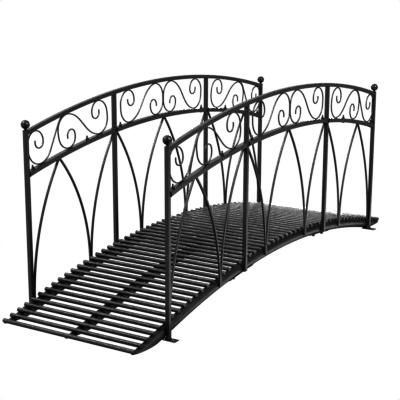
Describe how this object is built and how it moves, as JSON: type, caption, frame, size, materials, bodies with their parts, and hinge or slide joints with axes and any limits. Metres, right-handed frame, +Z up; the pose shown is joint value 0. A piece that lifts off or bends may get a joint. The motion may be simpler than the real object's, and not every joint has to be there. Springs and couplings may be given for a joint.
{
  "type": "arched garden bridge",
  "caption": "Arched steel garden footbridge: round-bar deck on arched round tubes, railings with pointed lancet bars, S-scroll friezes and ball-topped end posts.",
  "frame": {"origin": "ground level under the middle of the bridge", "axes": "+X along the span, +Y across to the far railing of the picture, +Z up"},
  "size_m": [2.5098, 0.802, 0.919],
  "materials": {
    "rail_paint": "satin black powder coat",
    "ornament_paint": "satin black powder coat",
    "deck_paint": "satin black powder coat"
  },
  "bodies": {
    "root": {"near_left_end_post": "rail_paint", "near_left_mid_post": "rail_paint", "near_right_end_post": "rail_paint", "near_right_mid_post": "rail_paint", "near_finials": "rail_paint", "near_left_top_rail": "rail_paint", "near_left_mid_rail": "rail_paint", "near_middle_top_rail": "rail_paint", "near_middle_mid_rail": "rail_paint", "near_right_top_rail": "rail_paint", "near_right_mid_rail": "rail_paint", "far_left_end_post": "rail_paint", "far_left_mid_post": "rail_paint", "far_right_end_post": "rail_paint", "far_right_mid_post": "rail_paint", "far_finials": "rail_paint", "far_left_top_rail": "rail_paint", "far_left_mid_rail": "rail_paint", "far_middle_top_rail": "rail_paint", "far_middle_mid_rail": "rail_paint", "far_right_top_rail": "rail_paint", "far_right_mid_rail": "rail_paint", "near_left_scrolls": "ornament_paint", "near_left_lancets": "ornament_paint", "near_middle_scrolls": "ornament_paint", "near_middle_lancets": "ornament_paint", "near_right_scrolls": "ornament_paint", "near_right_lancets": "ornament_paint", "far_left_scrolls": "ornament_paint", "far_left_lancets": "ornament_paint", "far_middle_scrolls": "ornament_paint", "far_middle_lancets": "ornament_paint", "far_right_scrolls": "ornament_paint", "far_right_lancets": "ornament_paint", "centre_bearer": "deck_paint", "left_slats": "deck_paint", "middle_slats": "deck_paint", "right_slats": "deck_paint", "near_foot_plates": "deck_paint", "near_splice_plates": "deck_paint", "near_left_stringer": "deck_paint", "near_middle_stringer": "deck_paint", "near_right_stringer": "deck_paint", "far_foot_plates": "deck_paint", "far_splice_plates": "deck_paint", "far_left_stringer": "deck_paint", "far_middle_stringer": "deck_paint", "far_right_stringer": "deck_paint"}
  },
  "joints": []
}
